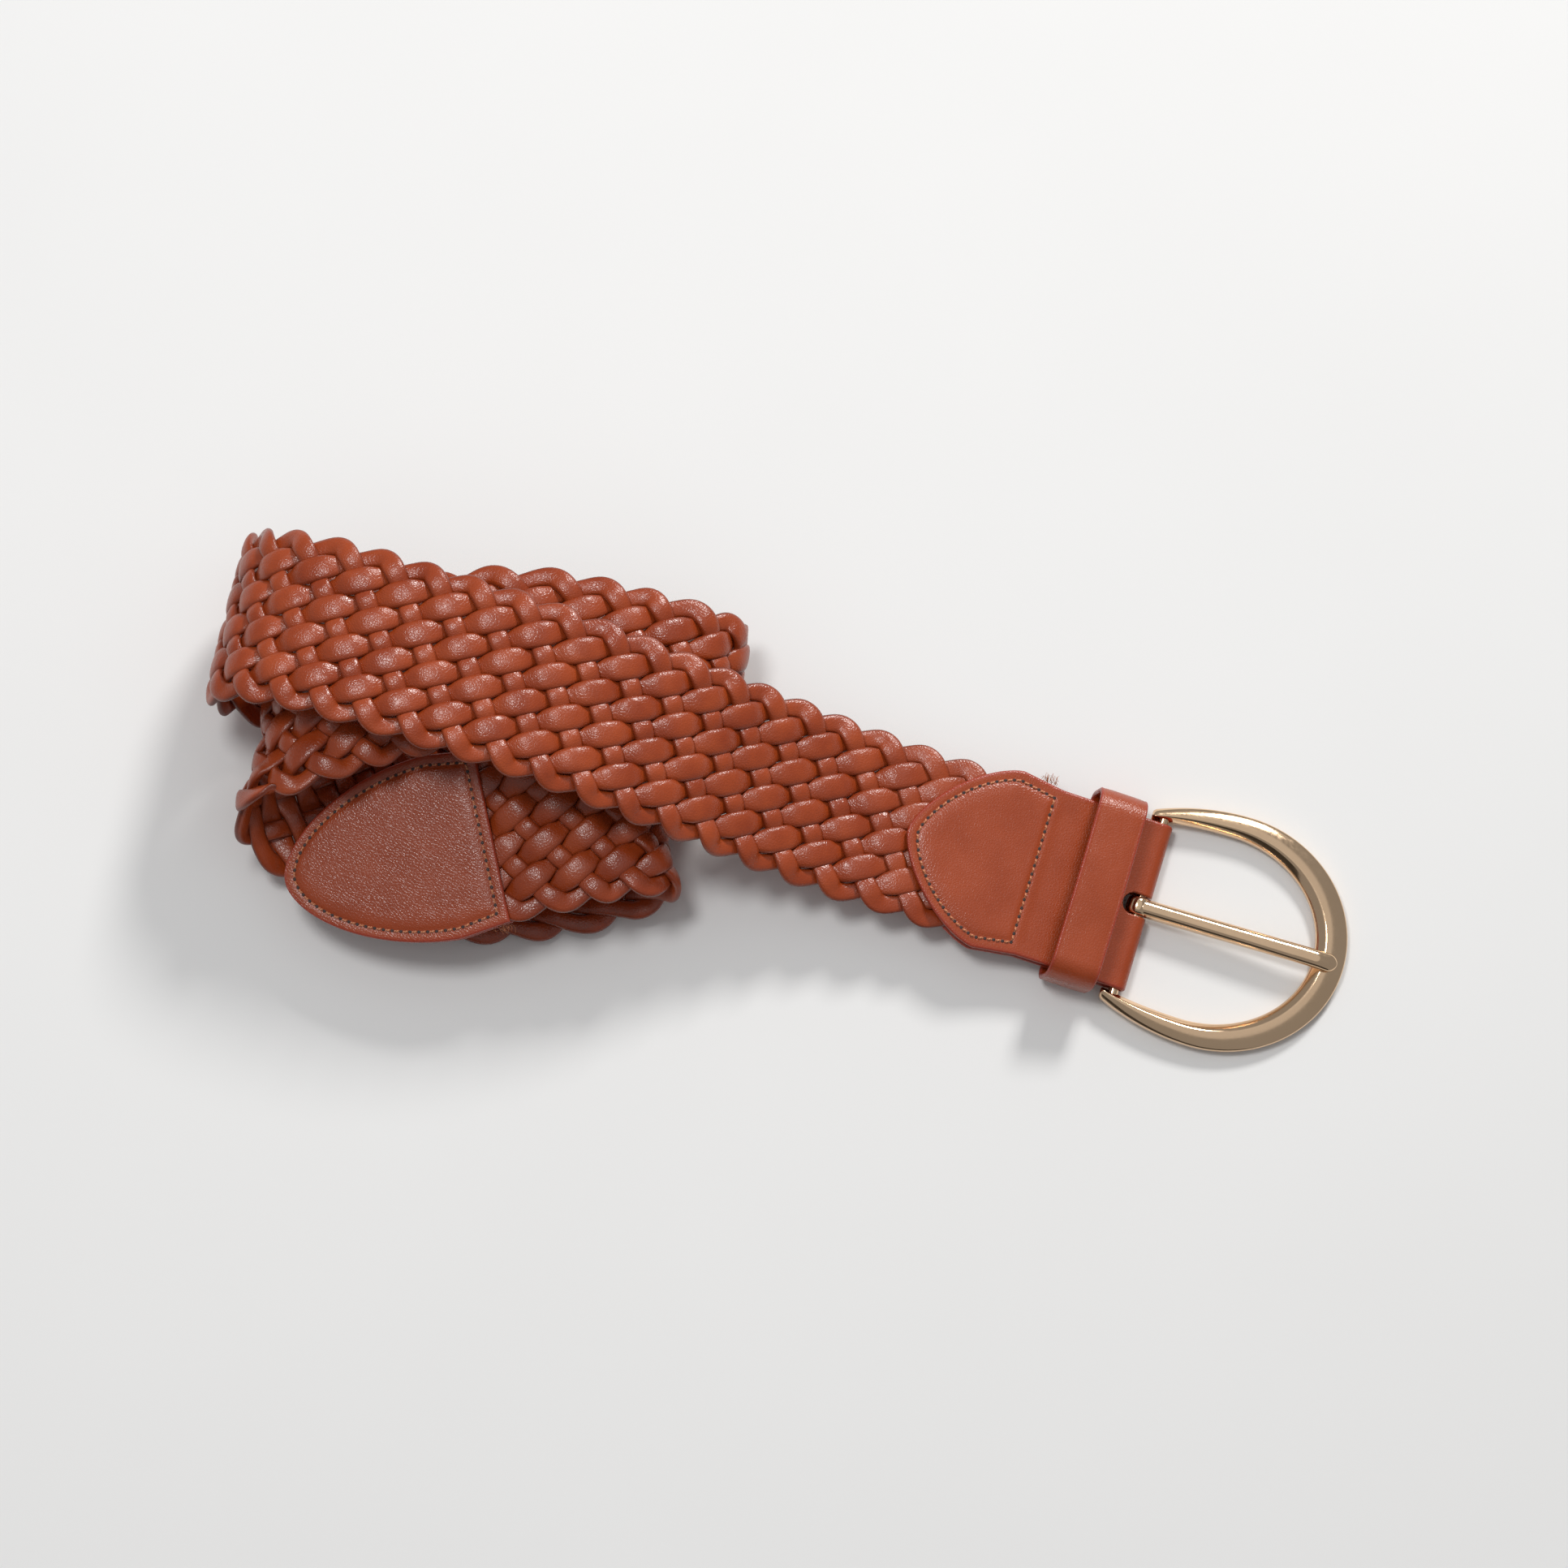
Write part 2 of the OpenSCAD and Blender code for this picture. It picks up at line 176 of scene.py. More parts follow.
# ---------------------------------------------------------------------------------------------
# The strap: ten padded thongs of tan imitation leather, each folded round a soft core with its
# seam at the back, plaited over one and under one into a flat braid. The finished strap rises
# from the buckle, turns left and right in a loose flat coil, and ends in the leather tip.
strap_w, strap_t, pressed_t = 50, 5, 3
chape_slope = math.radians(9)
braid_start, chape_len = 31, 69
tip_hold = 12
tip_slope, tip_turn, tip_lean = math.radians(10), 208, 6
tip_base = np.array([-176.3, -36.8, 26.5])
route = np.array([
    [-110, 0, 28.5, 87, 0], [-137, 0, 43.5, 86, 0], [-172, 1, 54, 87, 0], [-209, 1, 57, 90, 0],
    [-238, 1, 54.5, 92, 0], [-256, 0, 46, 93, 0], [-264, -0.5, 30, 94, 0],
    [-259, 0, 12.5, 95, 0], [-240, 3, 2.5, 95, 0], [-195, 8, 2.5, 96, 0],
    [-148, 14.5, 2.5, 96, 0], [-131, 16.5, 9, 97, 0], [-125, 17.5, 20, 95, 0],
    [-131, 17, 31, 97, 0], [-148, 16, 37.5, 99, 0], [-183.5, 11.5, 42, 104, 0],
    [-214, -3, 42.5, 106, 0], [-235, -17, 40, 102, 1], [-245, -27.5, 27, 99, 3],
    [-236, -36, 13.2, 103, 6], [-209.5, -42.5, 7.3, 106, 7], [-182, -40.5, 6, 111, 7],
    [-159.5, -32, 7, 115, 6], [-146, -24, 7.5, 118, 2], [-138, -18, 13, 119, 2],
    [-136.5, -16.5, 19.5, 122, 2], [-140.5, -18, 26, 124, 1], [-151, -23, 29, 119, 3],
])
tip_dir = np.array([
    math.cos(tip_slope) * math.cos(math.radians(tip_turn)),
    math.cos(tip_slope) * math.sin(math.radians(tip_turn)),
    -math.sin(tip_slope),
])
held = braid_start + (chape_len - braid_start) / 2 * np.arange(4)
stations = np.vstack([
    [[-d * math.cos(chape_slope), 0, bar[2] + d * math.sin(chape_slope), 90, 0] for d in held],
    route,
    [[*(tip_base + d * tip_dir), tip_turn - 90, tip_lean] for d in (-tip_hold, 0, tip_hold)],
])


def unit(v):
    """Vectors, one to a row, brought to length 1."""
    return v / np.linalg.norm(v, axis=-1, keepdims=True)


def smooth_line(stations, steps):
    """Catmull-Rom curve: between stations b and c, half of (2b + (c-a)t + (2a-5b+4c-d)t^2 +
    (3b-a-3c+d)t^3), with t from 0 to 1."""
    padded = np.vstack([
        2 * stations[0] - stations[1], stations, 2 * stations[-1] - stations[-2]
    ])
    t = (np.arange(steps) / steps)[None, :, None]
    a, b, c, d = (padded[k:len(padded) - 3 + k, None, :] for k in range(4))
    curve = (2 * b + (c - a) * t + (2 * a - 5 * b + 4 * c - d) * t**2
             + (3 * b - a - 3 * c + d) * t**3) / 2
    return np.vstack([curve.reshape(-1, stations.shape[1]), stations[-1:]])


line_steps = 30
line = smooth_line(stations, line_steps)
line[:, 2] = np.maximum(line[:, 2], strap_t / 2 + 0.08)
middle = line[:, :3] + [bar[0], bar[1], 0]
travel = unit(np.gradient(middle, axis=0))
turn, lean = np.radians(line[:, 3]), np.radians(line[:, 4])
coil_axis = np.stack([np.cos(turn) * np.cos(lean), np.sin(turn) * np.cos(lean), np.sin(lean)], 1)
outward = unit(np.cross(coil_axis, travel))
across = np.cross(travel, outward)
tip_across, tip_up = across[-1], outward[-1]

# How full the strap is: pressed flat where the leather ends hold it, full between them.
station_index = np.arange(len(line)) / line_steps
from_ends = np.minimum(station_index - 2, len(stations) - 2 - station_index)
full = np.clip(from_ends / 0.75, 0, 1)

run = np.r_[0, np.cumsum(np.linalg.norm(np.diff(middle, axis=0), axis=1))]
ring_gap = 0.6
s = np.arange(0, run[-1], ring_gap)


def along(values):
    """Values of the middle line, read again at even distances along the strap."""
    return np.stack([np.interp(s, run, column) for column in values.reshape(len(run), -1).T], 1)


ring_middle, ring_out, ring_across = along(middle), unit(along(outward)), unit(along(across))
ring_full = along(full)[:, 0]
press = pressed_t / strap_t + (1 - pressed_t / strap_t) * ring_full

thong_total = 10
cycle = 126.3
oval_leg = 90.8
reach_across = strap_w / 2 - 1.1
swing = np.linspace(0, cycle, 2527)
knots = oval_leg * np.array([0, 0.1, 0.9, 1])
back = cycle - oval_leg
knots = np.r_[knots, oval_leg + back * np.array([0.1, 0.9, 1])]
crossing = np.interp(swing, knots, [0.5, 1, 9, 9.5, 10, 18, 18.5])
sideways = np.interp(swing, [0, oval_leg, cycle], [reach_across, -reach_across, reach_across])
on_oval = (swing < oval_leg).astype(float)


def eased(values, spread):
    """A repeating curve smoothed by a bell of the given spread, in millimetres of strap."""
    step = swing[1] - swing[0]
    reach = np.arange(-int(4 * spread / step), int(4 * spread / step) + 1)
    bell = np.exp(-0.5 * (reach * step / spread) ** 2)
    bell /= bell.sum()
    ring = values[:-1]
    tiled = np.concatenate([ring[-len(reach):], ring, ring[:len(reach)]])
    smooth = np.convolve(tiled, bell, "same")[len(reach):-len(reach)]
    return np.r_[smooth, smooth[0]]


sideways = eased(sideways, 2.6)
over = eased(np.sin(np.pi / 2 * np.cos(np.pi * crossing)), 0.9)
on_oval = eased(on_oval, 2.5)

grain_group = bpy.data.node_groups.new("leather_grain", "ShaderNodeTree")
for socket_name, kind, value in (
    ("Pebble Scale", "NodeSocketFloat", 1500.0),
    ("Patch Scale", "NodeSocketFloat", 90.0),
    ("Crease", "NodeSocketFloat", 0.3),
):
    socket = grain_group.interface.new_socket(socket_name, in_out="INPUT", socket_type=kind)
    socket.default_value = value
for socket_name in ("Height", "Tone", "Dullness"):
    grain_group.interface.new_socket(socket_name, in_out="OUTPUT", socket_type="NodeSocketFloat")


def fill_grain(group):
    """Grain of coated leather. Height is a pebble pattern, cells divided by fine valleys, plus
    fine noise and long faint creases. Tone and Dullness are slow patches of the surface."""
    nodes, links = group.nodes, group.links
    given = nodes.new("NodeGroupInput")
    put_out = nodes.new("NodeGroupOutput")
    place = add(nodes, "ShaderNodeTexCoord").outputs["Object"]
    pebble = add(nodes, "ShaderNodeTexVoronoi", feature="DISTANCE_TO_EDGE")
    valley = add(nodes, "ShaderNodeMapRange", From_Max=0.22)
    fine = add(nodes, "ShaderNodeTexNoise", Detail=2.0, Roughness=0.6)
    fine_scale = add(nodes, "ShaderNodeMath", operation="MULTIPLY")
    fine_scale.inputs[1].default_value = 2.6
    crease = add(nodes, "ShaderNodeTexNoise", Scale=230.0, Detail=2.0, Distortion=1.2)
    fold = add(nodes, "ShaderNodeMapRange", From_Min=0.44, From_Max=0.5)
    patch = add(nodes, "ShaderNodeTexNoise", Detail=3.0, Roughness=0.55)
    for node in (pebble, fine, crease, patch):
        links.new(place, node.inputs["Vector"])
    links.new(given.outputs["Pebble Scale"], pebble.inputs["Scale"])
    links.new(given.outputs["Pebble Scale"], fine_scale.inputs[0])
    links.new(fine_scale.outputs[0], fine.inputs["Scale"])
    links.new(given.outputs["Patch Scale"], patch.inputs["Scale"])
    links.new(pebble.outputs["Distance"], valley.inputs["Value"])
    links.new(crease.outputs[0], fold.inputs["Value"])
    grain = add(nodes, "ShaderNodeMath", operation="MULTIPLY_ADD")
    grain.inputs[1].default_value = 0.35
    links.new(fine.outputs[0], grain.inputs[0])
    links.new(valley.outputs[0], grain.inputs[2])
    creased = add(nodes, "ShaderNodeMath", operation="MULTIPLY_ADD")
    links.new(fold.outputs[0], creased.inputs[0])
    links.new(given.outputs["Crease"], creased.inputs[1])
    links.new(grain.outputs[0], creased.inputs[2])
    links.new(creased.outputs[0], put_out.inputs["Height"])
    links.new(patch.outputs[0], put_out.inputs["Tone"])
    dull = add(nodes, "ShaderNodeMapRange", From_Min=0.3, From_Max=0.7, To_Min=0.25, To_Max=0.33)
    links.new(patch.outputs[0], dull.inputs["Value"])
    links.new(dull.outputs[0], put_out.inputs["Dullness"])


fill_grain(grain_group)


def leather(name, deep, light, painted, pebble=1500.0, crease=0.3, bump=0.35):
    """Coated leather: the grain group drives tone, gloss and bump. painted names attributes of
    the mesh, each with the colour that shows where it is 1."""
    made, nodes, links, shader = finish_of(name, Specular_IOR_Level=0.6)
    grain = add(nodes, "ShaderNodeGroup", node_tree=grain_group)
    grain.inputs["Pebble Scale"].default_value = pebble
    grain.inputs["Crease"].default_value = crease
    tone = add(nodes, "ShaderNodeValToRGB")
    tone.color_ramp.elements[0].position, tone.color_ramp.elements[1].position = 0.3, 0.72
    tone.color_ramp.elements[0].color = (*deep, 1)
    tone.color_ramp.elements[1].color = (*light, 1)
    links.new(grain.outputs["Tone"], tone.inputs[0])
    colour = tone.outputs[0]
    for attribute, paint_colour in painted.items():
        mask = add(nodes, "ShaderNodeAttribute", attribute_name=attribute)
        paint = add(nodes, "ShaderNodeMix", data_type="RGBA")
        paint.inputs[7].default_value = (*paint_colour, 1)
        links.new(mask.outputs["Fac"], paint.inputs[0])
        links.new(colour, paint.inputs[6])
        colour = paint.outputs[2]
    links.new(colour, shader.inputs["Base Color"])
    links.new(grain.outputs["Dullness"], shader.inputs["Roughness"])
    relief = add(nodes, "ShaderNodeBump", Strength=bump, Distance=0.00004)
    links.new(grain.outputs["Height"], relief.inputs["Height"])
    links.new(relief.outputs[0], shader.inputs["Normal"])
    return made


def mark(piece, name, values):
    """A number kept at every vertex, for the piece's material to read."""
    layer = piece.data.attributes.new(name, "FLOAT", "POINT")
    layer.data.foreach_set("value", np.asarray(values, np.float32))


def tube_faces(rings, sides, closed=False):
    """Quads between neighbouring rings, each ring of the same number of points. An open tube
    has a face over each end."""
    i, j = np.meshgrid(np.arange(rings if closed else rings - 1), np.arange(sides), indexing="ij")
    a, b = i * sides + j, i * sides + (j + 1) % sides
    c, d = (i + 1) % rings * sides + (j + 1) % sides, (i + 1) % rings * sides + j
    faces = np.stack([a, b, c, d], -1).reshape(-1, 4).tolist()
    if not closed:
        faces.append(list(range(sides))[::-1])
        faces.append([(rings - 1) * sides + k for k in range(sides)])
    return faces


# The darkest colour of the thong leather is painted shade, laid where a thong's sides sink into
# the weave.
thong_finish = leather(
    "thong_leather", (0.27, 0.036, 0.006), (0.38, 0.060, 0.011),
    {"crevice_shade": (0.085, 0.010, 0.003), "seam": (0.42, 0.22, 0.13)},
    pebble=1150.0, crease=0.2, bump=0.8,
)
section_sides = 18
angle = np.arange(section_sides) * 2 * np.pi / section_sides
flat_cos = np.sign(np.cos(angle)) * np.abs(np.cos(angle)) ** 0.85
flat_sin = np.sign(np.sin(angle)) * np.abs(np.sin(angle)) ** 0.8
for number in range(1, thong_total + 1):
    phase = (s + number * cycle / thong_total) % cycle
    w = np.interp(phase, swing, sideways) * (1 - 0.02 * (1 - ring_full))
    lifted = np.interp(phase, swing, over)
    oval = np.interp(phase, swing, on_oval)
    thick = 1.25 * press
    wide = (2.75 + 0.35 * oval) + (0.2 + 0.4 * oval) * lifted
    path = ring_middle + w[:, None] * ring_across + (1.25 * press * lifted)[:, None] * ring_out
    forward = unit(np.gradient(path, axis=0))
    side = unit(np.cross(ring_out, forward))
    up = np.cross(forward, side)
    points = (path[:, None]
              + (wide[:, None] * flat_cos)[..., None] * side[:, None]
              + (thick[:, None] * flat_sin)[..., None] * up[:, None])
    thong = solid(
        f"woven_thong_{number}", points.reshape(-1, 3), tube_faces(len(s), section_sides),
        thong_finish,
    )
    travelled = np.r_[0, np.cumsum(np.linalg.norm(np.diff(path, axis=0), axis=1))]
    thread = 0.5 * (np.sin(angle) < -0.99)[None, :] * (travelled[:, None] % 3.2 < 2.0)
    mark(thong, "seam", thread.ravel())
    # Painted shade: the colour darkens at a thong's sides, most where it dives under the next.
    beside = np.interp(np.abs(np.cos(angle)), [0.7, 1], [0, 0.85])[None, :]
    mark(thong, "crevice_shade", (beside * (0.75 - 0.25 * lifted[:, None])).ravel())
    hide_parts(f"thong_{number}")
    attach(thong, "strap")

# ---------------------------------------------------------------------------------------------
# Leather ends. At the buckle one piece of leather is folded round the bar, slotted for the
# prong, and both its leaves are cut to a rounded tongue over the braid. The edges are painted
# a redder brown, and the leaves swell a little over the braid and dip along the seam.
leaf_t = 1.5
leaf_middle = 1.5 + 0.08 + leaf_t / 2
chape_wide_at, chape_round, tongue_half, chape_half = 42, 27, 26, 24.3
waist_back, chape_power = 12, 1.5
seam_inset = 3
slot_half, slot_reach = 3.1, 5.2


def on_leather(points):
    """From the leather end's own frame, x back along the strap from the bar, to the belt's."""
    x, y, z = np.moveaxis(np.asarray(points, float), -1, 0)
    c, sn = math.cos(chape_slope), math.sin(chape_slope)
    return np.stack([-x * c + z * sn, -y, x * sn + z * c], -1) + bar


def tongue_half_at(x, start_half, waist, wide_at, reach, half, power):
    """Half-width of a tongue: straight to the waist, widening evenly to its widest place, then
    a superellipse, half (1 - ((x - wide_at) / reach)^power)^(1 / power)."""
    f = np.clip((x - wide_at) / reach, 0, 1)
    body = np.interp(x, [waist, wide_at], [start_half, half])
    return np.where(x > wide_at, half * (1 - f**power) ** (1 / power), body)


def tongue_curve(wide_at, reach, half, power, inset, count=90):
    """Points round a tongue, inset evenly, from one edge over the point to the other edge."""
    a = np.linspace(-np.pi / 2, np.pi / 2, count)
    x = wide_at + (reach - inset) * np.clip(np.cos(a), 0, 1) ** (2 / power)
    y = np.sign(a) * (half - inset) * np.abs(np.sin(a)) ** (2 / power)
    return np.stack([x, y], 1)


def even_points(path, gap):
    """A path of points read again at even distances of about the given gap."""
    run = np.r_[0, np.cumsum(np.linalg.norm(np.diff(path, axis=0), axis=1))]
    at = np.linspace(0, run[-1], max(2, int(round(run[-1] / gap)) + 1))
    return np.stack([np.interp(at, run, path[:, k]) for k in range(path.shape[1])], 1)


def nearest(points, path):
    """Distance of each flat point from the nearest point of a path."""
    gaps = [np.hypot(part[:, None, 0] - path[:, 0], part[:, None, 1] - path[:, 1]).min(1)
            for part in np.array_split(points, max(1, len(points) // 4000))]
    return np.concatenate(gaps)


def strip(half, thick, across_count=60, edge_count=7):
    """Section of a strip of leather at each station: a flat top and bottom joined by round
    edges. Gives y, z for every station, and whether each point is on the edge."""
    f = np.linspace(-1, 1, across_count)
    a = np.linspace(90, -90, edge_count + 2)[1:-1]
    c, sn = np.cos(np.radians(a)), np.sin(np.radians(a))
    r = np.minimum(thick / 2, half * 0.98)[:, None]
    inner, h = half[:, None] - r, thick[:, None] / 2
    y = np.hstack([f * inner, inner + r * c, -f * inner, -inner - r * c])
    z = np.hstack([0 * f + h, h * sn, 0 * f - h, -h * sn])
    rim = np.r_[0 * f, 0 * a + 1, 0 * f, 0 * a + 1]
    return y, z, np.broadcast_to(rim, y.shape)


def end_taper(distance, thick):
    """Rounds a strip's end: the share of the thickness left at a distance from the end."""
    f = np.clip(distance / (thick / 2), 0.02, 1)
    return np.sqrt(1 - (1 - f) ** 2)


tongue_x = np.concatenate([
    chape_wide_at + chape_round * np.sin(np.linspace(np.pi / 2, 0, 70)),
    np.linspace(chape_wide_at, 0, 86)[1:],
])
tongue_x[0] -= 0.02
bend = np.linspace(0, np.pi, 25)[1:-1]
fold_x = np.concatenate([tongue_x, 0 * bend, tongue_x[::-1]])
fold_middle = np.concatenate([
    np.stack([tongue_x, 0 * tongue_x + leaf_middle], 1),
    np.stack([-leaf_middle * np.sin(bend), leaf_middle * np.cos(bend)], 1),
    np.stack([tongue_x[::-1], 0 * tongue_x - leaf_middle], 1),
])
fold_up = np.concatenate([
    np.tile([0, 1.0], (len(tongue_x), 1)),
    np.stack([-np.sin(bend), np.cos(bend)], 1),
    np.tile([0, -1.0], (len(tongue_x), 1)),
])
fold_half = tongue_half_at(
    fold_x, chape_half, chape_wide_at - waist_back, chape_wide_at, chape_round, tongue_half,
    chape_power,
)
fold_thick = leaf_t * end_taper(chape_len - fold_x, leaf_t)
y, z, rim = strip(fold_half, fold_thick)
x = np.broadcast_to(fold_x[:, None], y.shape)
chape_outline = even_points(np.vstack([
    [[-9, -chape_half], [chape_wide_at - waist_back, -chape_half]],
    tongue_curve(chape_wide_at, chape_round, tongue_half, chape_power, 0),
    [[chape_wide_at - waist_back, chape_half], [-9, chape_half]],
]), 0.5)
cross_seam = braid_start + 1
chape_seam = np.vstack([
    [[cross_seam, seam_inset - chape_half]],
    tongue_curve(
        chape_wide_at, chape_round, tongue_half, chape_power, seam_inset
    ),
    [[cross_seam, chape_half - seam_inset], [cross_seam, seam_inset - chape_half]],
])


def ramp(v, low, high):
    """Smooth step from 0 at low to 1 at high."""
    f = np.clip((v - low) / (high - low), 0, 1)
    return f * f * (3 - 2 * f)


groove_deep, groove_wide = 0.28, 0.75
chape_puff, tip_puff = 0.5, 0.55
chape_puff_start, tip_puff_start = braid_start - 3, -6


def swell(flat, outline, seam, height, start):
    """How far the leather stands proud: it rises from its edge over the braid, past start, and
    dips in a narrow groove along the seam."""
    rise = height * ramp(nearest(flat, outline), 0.4, 7) * ramp(flat[:, 0], start, start + 6)
    from_seam = nearest(flat, even_points(seam, 0.5))
    return rise - groove_deep * np.exp(-((from_seam / groove_wide) ** 2))


flat = np.stack([x.ravel(), y.ravel()], 1)
puff = swell(flat, chape_outline, chape_seam, chape_puff, chape_puff_start).reshape(y.shape)
face = np.where(z > 0, 1, 0) * np.broadcast_to(1 - rim, z.shape)
lift = z + puff * face
points = np.stack([
    fold_middle[:, :1] + fold_up[:, :1] * lift,
    y,
    fold_middle[:, 1:] + fold_up[:, 1:] * lift,
], -1)
end_finish = leather(
    "end_leather", (0.31, 0.044, 0.007), (0.36, 0.055, 0.010), {"rim": (0.34, 0.040, 0.016)},
    pebble=1300.0, crease=0.0, bump=0.8,
)
faces = tube_faces(len(fold_x), y.shape[1])
chape = solid("folded_chape", on_leather(points).reshape(-1, 3), faces, end_finish)
near_edge = 1 - ramp(nearest(flat, chape_outline), 0.5, 1.1)
mark(chape, "rim", np.clip(rim + 0.8 * near_edge.reshape(rim.shape), 0, 1).ravel())


def flip_if_inside_out(piece):
    """Turns a closed mesh's faces outwards: its signed volume is made positive."""
    mesh = piece.data
    mesh.calc_loop_triangles()
    corner = np.empty(len(mesh.vertices) * 3)
    mesh.vertices.foreach_get("co", corner)
    corner = corner.reshape(-1, 3)
    tri = np.empty(len(mesh.loop_triangles) * 3, np.int32)
    mesh.loop_triangles.foreach_get("vertices", tri)
    a, b, c = corner[tri.reshape(-1, 3)].transpose(1, 0, 2)
    if (a * np.cross(b, c)).sum() < 0:
        mesh.flip_normals()


flip_if_inside_out(chape)
for number in range(1, thong_total + 1):
    flip_if_inside_out(bpy.data.objects[f"woven_thong_{number}"])


def cut(piece, cutter):
    """Takes the cutter's shape out of a piece, keeping the piece's own finish and marks."""
    step = piece.modifiers.new("slot", "BOOLEAN")
    step.operation, step.solver, step.object = "DIFFERENCE", "EXACT", cutter
    bpy.context.view_layer.update()
    graph = bpy.context.evaluated_depsgraph_get()
    made = bpy.data.meshes.new_from_object(piece.evaluated_get(graph))
    piece.modifiers.clear()
    piece.data = made
    bpy.data.objects.remove(cutter)


slot_ends = np.radians(np.linspace(-90, 90, 13))
slot_shape = np.vstack([
    [[-8, slot_half], [-8, -slot_half]],
    np.stack([
        slot_reach - slot_half + slot_half * np.cos(slot_ends), slot_half * np.sin(slot_ends)
    ], 1),
])
low_ring = np.insert(slot_shape, 2, -8, axis=1)
high_ring = np.insert(slot_shape, 2, 8, axis=1)
cutter = solid(
    "slot_cutter", on_leather(np.vstack([low_ring, high_ring])), tube_faces(2, len(slot_shape))
)
flip_if_inside_out(cutter)
cut(chape, cutter)
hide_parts("buckle_chape")
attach(chape, "strap")

# ---------------------------------------------------------------------------------------------
# Seams of the leather ends. A twisted copper-tan thread is sewn through both leaves in lock
# stitches about 2.5 mm apart. Each stitch dives into a needle hole at both its ends.
stitch_pitch, stitch_len, thread_r = 2.5, 1.65, 0.3
thread_finish, nodes, links, shader = finish_of("sewing_thread", Roughness=0.5, Sheen_Weight=0.3)
# The needle holes are near-black discs: painted shade where each hole sinks into the leather.
mask = add(nodes, "ShaderNodeAttribute", attribute_name="hole_shade")
twist = add(nodes, "ShaderNodeAttribute", attribute_name="ply")
ply = add(nodes, "ShaderNodeMath", operation="SINE")
links.new(twist.outputs["Fac"], ply.inputs[0])
tone = add(nodes, "ShaderNodeMix", data_type="RGBA")
tone.inputs[6].default_value = (0.42, 0.12, 0.045, 1)
tone.inputs[7].default_value = (0.70, 0.27, 0.12, 1)
shade = add(nodes, "ShaderNodeMapRange", From_Min=-1.0)
links.new(ply.outputs[0], shade.inputs["Value"])
links.new(shade.outputs[0], tone.inputs[0])
dark = add(nodes, "ShaderNodeMix", data_type="RGBA")
dark.inputs[7].default_value = (0.03, 0.008, 0.005, 1)
links.new(mask.outputs["Fac"], dark.inputs[0])
links.new(tone.outputs[2], dark.inputs[6])
links.new(dark.outputs[2], shader.inputs["Base Color"])
relief = add(nodes, "ShaderNodeBump", Strength=0.5, Distance=0.0001)
links.new(ply.outputs[0], relief.inputs["Height"])
links.new(relief.outputs[0], shader.inputs["Normal"])


def stitches(seam, surface, place):
    """Stitches along a flat path. Each is a bent tube, height 0.3 (1 - t^4) - 0.25 t^2 over
    its length, t from -1 to 1, and a near-black disc of painted shade marks the needle hole
    between it and the next.
    surface(x, y) is the height of the leather there, place() takes the points to the belt."""
    run = np.r_[0, np.cumsum(np.linalg.norm(np.diff(seam, axis=0), axis=1))]
    count = int(run[-1] // stitch_pitch)
    centres = (np.arange(count) + 0.5) * run[-1] / count
    t = np.linspace(-1, 1, 9)
    a = np.arange(8) * np.pi / 4
    at = centres[:, None] + t * stitch_len / 2
    px, py = (np.interp(at, run, seam[:, k]) for k in (0, 1))
    dx, dy = np.gradient(px, axis=1), np.gradient(py, axis=1)
    size = np.hypot(dx, dy)
    dx, dy = dx / size, dy / size
    slant = 0.1 * t
    px, py = px - dy * slant, py + dx * slant
    height = surface(px, py) + 0.28 * (1 - t**4) - 0.3 * t**2
    ring_r = thread_r * np.broadcast_to(1 - 0.25 * t**8, px.shape)
    tube = np.stack([
        px[..., None] - dy[..., None] * ring_r[..., None] * np.cos(a),
        py[..., None] + dx[..., None] * ring_r[..., None] * np.cos(a),
        height[..., None] + ring_r[..., None] * np.sin(a),
    ], -1)
    one = np.array(tube_faces(9, 8)[:-2])
    caps = [list(range(8))[::-1], list(range(64, 72))]
    faces = (one[None] + 72 * np.arange(count)[:, None, None]).reshape(-1, 4).tolist()
    faces += [[v + 72 * k for v in cap] for k in range(count) for cap in caps]
    points = place(tube.reshape(-1, 3))
    ply = (np.broadcast_to((at[..., None] * 7.5 + a), (count, 9, 8))).reshape(-1)
    hole_at = np.arange(count) * run[-1] / count
    hx, hy = (np.interp(hole_at, run, seam[:, k]) for k in (0, 1))
    rim_a = np.arange(8) * np.pi / 4
    low = surface(hx, hy)
    holes = np.concatenate([
        np.stack([hx[:, None] + r * np.cos(rim_a), hy[:, None] + r * np.sin(rim_a),
                  np.broadcast_to((low + h)[:, None], (count, 8))], -1)
        for r, h in ((0.55, -0.1), (0.45, 0.16), (0.2, 0.1))
    ], 1)
    base = len(points)
    ring = np.array(tube_faces(3, 8)[:-2])
    hole_faces = (ring[None] + base + 24 * np.arange(count)[:, None, None]).reshape(-1, 4).tolist()
    hole_faces += [[base + 24 * k + v for v in cap] for k in range(count)
                   for cap in (list(range(8))[::-1], list(range(16, 24)))]
    points = np.vstack([points, place(holes.reshape(-1, 3))])
    return points, faces + hole_faces, ply, np.r_[np.zeros(base), np.ones(24 * count)]


def sew(name, seam, top, bottom, place, node):
    """Both sides of a seam as one piece: top and bottom are the heights of the leather."""
    upper = stitches(seam, top, place)
    lower = stitches(seam, lambda x, y: -bottom(x, y), lambda p: place(p * [1, 1, -1]))
    shift = len(upper[0])
    points = np.vstack([upper[0], lower[0]])
    turned = [[v + shift for v in face[::-1]] for face in lower[1]]
    made = solid(name, points, upper[1] + turned, thread_finish)
    mark(made, "ply", np.r_[upper[2], np.zeros(len(upper[0]) - len(upper[2])),
                            lower[2], np.zeros(len(lower[0]) - len(lower[2]))])
    # Marks the near-black painted shade of the needle holes.
    mark(made, "hole_shade", np.r_[upper[3], lower[3]])
    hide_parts(node)
    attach(made, "strap")
    return made


leaf_top = leaf_middle + leaf_t / 2


